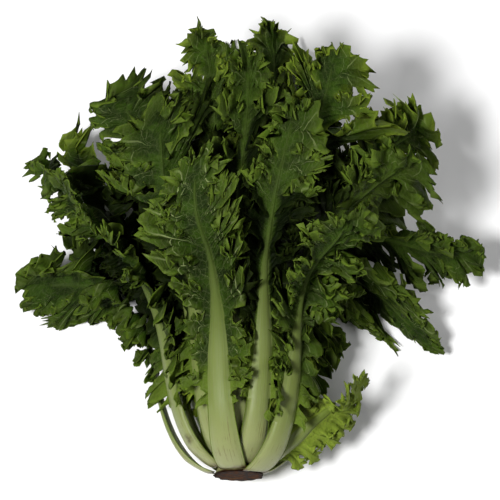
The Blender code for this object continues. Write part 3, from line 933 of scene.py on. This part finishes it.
    # Small relief: veins, both nets and wrinkles on the blade, strands on the petiole, and a fine grain
    height = worked(tree, "MULTIPLY", lateral, 0.55)
    for relief, strength in ((net, 0.45), (small_net, 0.22), (wrinkle, 3.2)):
        height = worked(tree, "ADD", height, worked(tree, "MULTIPLY", relief, strength))
    height = worked(tree, "MULTIPLY", height, between(tree, rib_mask, 0.0, 0.6, 1.0, 0.0))
    height = worked(
        tree,
        "ADD",
        height,
        worked(tree, "MULTIPLY", worked(tree, "MULTIPLY", strands, rib_mask), 0.45),
    )
    height = worked(tree, "ADD", height, worked(tree, "MULTIPLY", fine, 0.12))
    bump = node(tree, "ShaderNodeBump", {"Height": height, "Strength": 0.55, "Distance": 0.0006})
    rough = between(tree, fine, 0.25, 0.75, 0.48, 0.68)
    rough = worked(tree, "SUBTRACT", rough, worked(tree, "MULTIPLY", rib_mask, 0.16))
    low_rib = worked(tree, "MULTIPLY", rib_mask, between(tree, reach, 0.20, 0.50, 0.28, 0.0))
    gloss = worked(tree, "ADD", low_rib, 0.035)
    tree.links.new(base, shader.inputs["Base Color"])
    tree.links.new(rough, shader.inputs["Roughness"])
    tree.links.new(gloss, shader.inputs["Specular IOR Level"])
    tree.links.new(bump.outputs["Normal"], shader.inputs["Normal"])
    shader.inputs["Subsurface Weight"].default_value = 0.12
    shader.inputs["Subsurface Radius"].default_value = (0.4, 0.8, 0.15)
    shader.inputs["Subsurface Scale"].default_value = 0.0012
    return material


def place_leaf(leaf, name, stands_for, slot, material, **make):
    """Makes one leaf and puts it in place of its solid one."""
    piece = frilled_leaf(leaf, name, **make)
    piece.data.materials.append(material)
    bpy.context.scene.collection.objects.link(piece)
    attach(piece, "root")
    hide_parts(stands_for)


outer_green = leaf_material(
    "outer_leaf_green",
    blade_dark=(0.0025, 0.0095, 0.0003, 1.0),
    blade_light=(0.0150, 0.0370, 0.0012, 1.0),
    young=(0.098, 0.150, 0.014, 1.0),
    vein_colour=(0.200, 0.240, 0.095, 1.0),
    petiole_colour=(0.178, 0.220, 0.052, 1.0),
    foot_colour=(0.370, 0.385, 0.180, 1.0),
    pale_blade=(0.200, 0.270, 0.030, 1.0),
    young_reach=(0.21, 0.40),
    # the colour of the painted shade in troughs and under other leaves
    painted_shade_colour=(0.0005, 0.0016, 0.0001, 1.0),
)
# The leaves that have stayed flatter than the rest, those whose gaps are shallow, and one turned to face up
CALM_LEAVES = {44: 1.0, 42: 1.0, 34: 0.4}
SHALLOW_GAPS = {44: 0.55, 42: 0.35, 34: 0.55}
TURNED_LEAVES = {42: 0.9}
# Where the wings beside the petiole start, as a share of the length, and how far they reach
USUAL_WINGS = (0.28, 0.010)
LOW_WINGS = {
    47: (0.20, 0.018),
    44: (0.22, 0.016),
    42: (0.10, 0.030),
    41: (0.20, 0.018),
    39: (0.20, 0.018),
    36: (0.20, 0.012),
    34: (0.08, 0.026),
}
for leaf in leaves[27:]:
    calm = CALM_LEAVES.get(leaf.number, 0.0)
    low, wing = LOW_WINGS.get(leaf.number, USUAL_WINGS)
    place_leaf(
        leaf,
        f"outer_leaf_{leaf.number:02d}_frilled",
        f"outer_leaf_{leaf.number:02d}",
        "leaf_green",
        outer_green,
        low=low,
        wing=wing,
        cut=SHALLOW_GAPS.get(leaf.number, 0.88),
        bow=(-0.2, 0.8) if calm else (-0.5, 2.5),
        span=1.0 if calm else 0.85,
        tooth_rows=0.0040,
        rib_columns=3,
        blade_columns=9,
        frill=1.0,
        calm=calm,
        turned=TURNED_LEAVES.get(leaf.number, 0.0),
    )


# ---- The inner leaves -----------------------------------------------------------------------------------
# Eighteen longer leaves between the heart and the outside. Shaded for most of their length, they are
# greener than the heart only towards their tips, whose frills fill the far end of the head.

inner_green = leaf_material(
    "inner_leaf_green",
    blade_dark=(0.0030, 0.0110, 0.0003, 1.0),
    blade_light=(0.0170, 0.0420, 0.0014, 1.0),
    young=(0.165, 0.230, 0.018, 1.0),
    vein_colour=(0.220, 0.270, 0.100, 1.0),
    petiole_colour=(0.220, 0.270, 0.075, 1.0),
    foot_colour=(0.340, 0.360, 0.190, 1.0),
    pale_blade=(0.200, 0.270, 0.030, 1.0),
    young_reach=(0.36, 0.62),
    # the colour of the painted shade in troughs and under other leaves
    painted_shade_colour=(0.0006, 0.0020, 0.0001, 1.0),
)
for leaf in leaves[9:27]:
    place_leaf(
        leaf,
        f"inner_leaf_{leaf.number:02d}_frilled",
        f"inner_leaf_{leaf.number:02d}",
        "leaf_green",
        inner_green,
        low=0.09,
        wing=0.024,
        cut=0.84,
        bow=(-0.5, 2.5),
        span=0.90,
        tooth_rows=0.0049,
        rib_columns=2,
        blade_columns=7,
        frill=0.95,
    )


# ---- The heart ------------------------------------------------------------------------------------------
# Nine short leaves in the middle of the head, which no light has reached: pale, tender and yellow-green,
# with narrow blades that are finely frilled from low down.

heart_yellow = leaf_material(
    "heart_leaf_yellow",
    blade_dark=(0.180, 0.250, 0.040, 1.0),
    blade_light=(0.260, 0.330, 0.060, 1.0),
    young=(0.380, 0.430, 0.120, 1.0),
    vein_colour=(0.450, 0.480, 0.230, 1.0),
    petiole_colour=(0.480, 0.500, 0.280, 1.0),
    foot_colour=(0.520, 0.530, 0.330, 1.0),
    pale_blade=(0.360, 0.420, 0.100, 1.0),
    young_reach=(0.40, 0.90),
    # the colour of the painted shade in troughs and under other leaves
    painted_shade_colour=(0.030, 0.045, 0.006, 1.0),
)
for leaf in leaves[:9]:
    place_leaf(
        leaf,
        f"heart_leaf_{leaf.number:02d}_frilled",
        f"heart_leaf_{leaf.number:02d}",
        "heart_green",
        heart_yellow,
        low=0.12,
        wing=0.010,
        cut=0.60,
        bow=(-0.3, 1.2),
        span=1.0,
        tooth_rows=0.0058,
        rib_columns=2,
        blade_columns=6,
        frill=0.7,
    )


# ---- The table, the light and the camera ----------------------------------------------------------------
# A plain pale table under soft daylight from a large window above and to the left, seen from above and
# slightly from the cut end.

floor_mesh = bmesh.new()
bmesh.ops.create_grid(floor_mesh, x_segments=1, y_segments=1, size=3.0)
floor_data = bpy.data.meshes.new("table_top")
floor_mesh.to_mesh(floor_data)
floor_mesh.free()
floor = bpy.data.objects.new("table_top", floor_data)
bpy.context.scene.collection.objects.link(floor)
floor_material = bpy.data.materials.new("table_white")
floor_material.use_nodes = True
floor_shader = floor_material.node_tree.nodes["Principled BSDF"]
floor_shader.inputs["Base Color"].default_value = (0.92, 0.92, 0.92, 1.0)
floor_shader.inputs["Roughness"].default_value = 0.9
floor_data.materials.append(floor_material)


def soft_light(name, place, aim, size, power):
    """A round lamp of this width, in metres, and this power, in watts."""
    data = bpy.data.lights.new(name, "AREA")
    data.shape = "DISK"
    data.size = size
    data.energy = power
    lamp = bpy.data.objects.new(name, data)
    lamp.location = place
    lamp.rotation_euler = (Vector(aim) - Vector(place)).to_track_quat("-Z", "Y").to_euler()
    bpy.context.scene.collection.objects.link(lamp)


soft_light("window", (-0.50, -0.34, 1.36), (0.0, 0.0, 0.05), 0.32, 24.0)
soft_light("room", (0.6, -0.2, 1.4), (0.0, 0.0, 0.05), 0.9, 4.0)
soft_light("far_wall", (0.25, 1.25, 0.75), (0.0, 0.0, 0.08), 0.9, 6.0)

world = bpy.data.worlds.new("soft_room")
world.use_nodes = True
world.node_tree.nodes["Background"].inputs["Color"].default_value = (1.0, 1.0, 1.0, 1.0)
world.node_tree.nodes["Background"].inputs["Strength"].default_value = 0.075
bpy.context.scene.world = world
bpy.context.scene.view_settings.view_transform = "Standard"

CAMERA_ELEVATION = math.radians(77.0)
CAMERA_DISTANCE = 1.30
look_at = Vector((0.0, -0.0075, 0.07))
camera_data = bpy.data.cameras.new("camera")
camera_data.lens = 131.0
camera = bpy.data.objects.new("camera", camera_data)
away = Vector((0.0, -math.cos(CAMERA_ELEVATION), math.sin(CAMERA_ELEVATION)))
camera.location = look_at + away * CAMERA_DISTANCE
camera.rotation_euler = (-away).to_track_quat("-Z", "Y").to_euler()
bpy.context.scene.collection.objects.link(camera)
bpy.context.scene.camera = camera
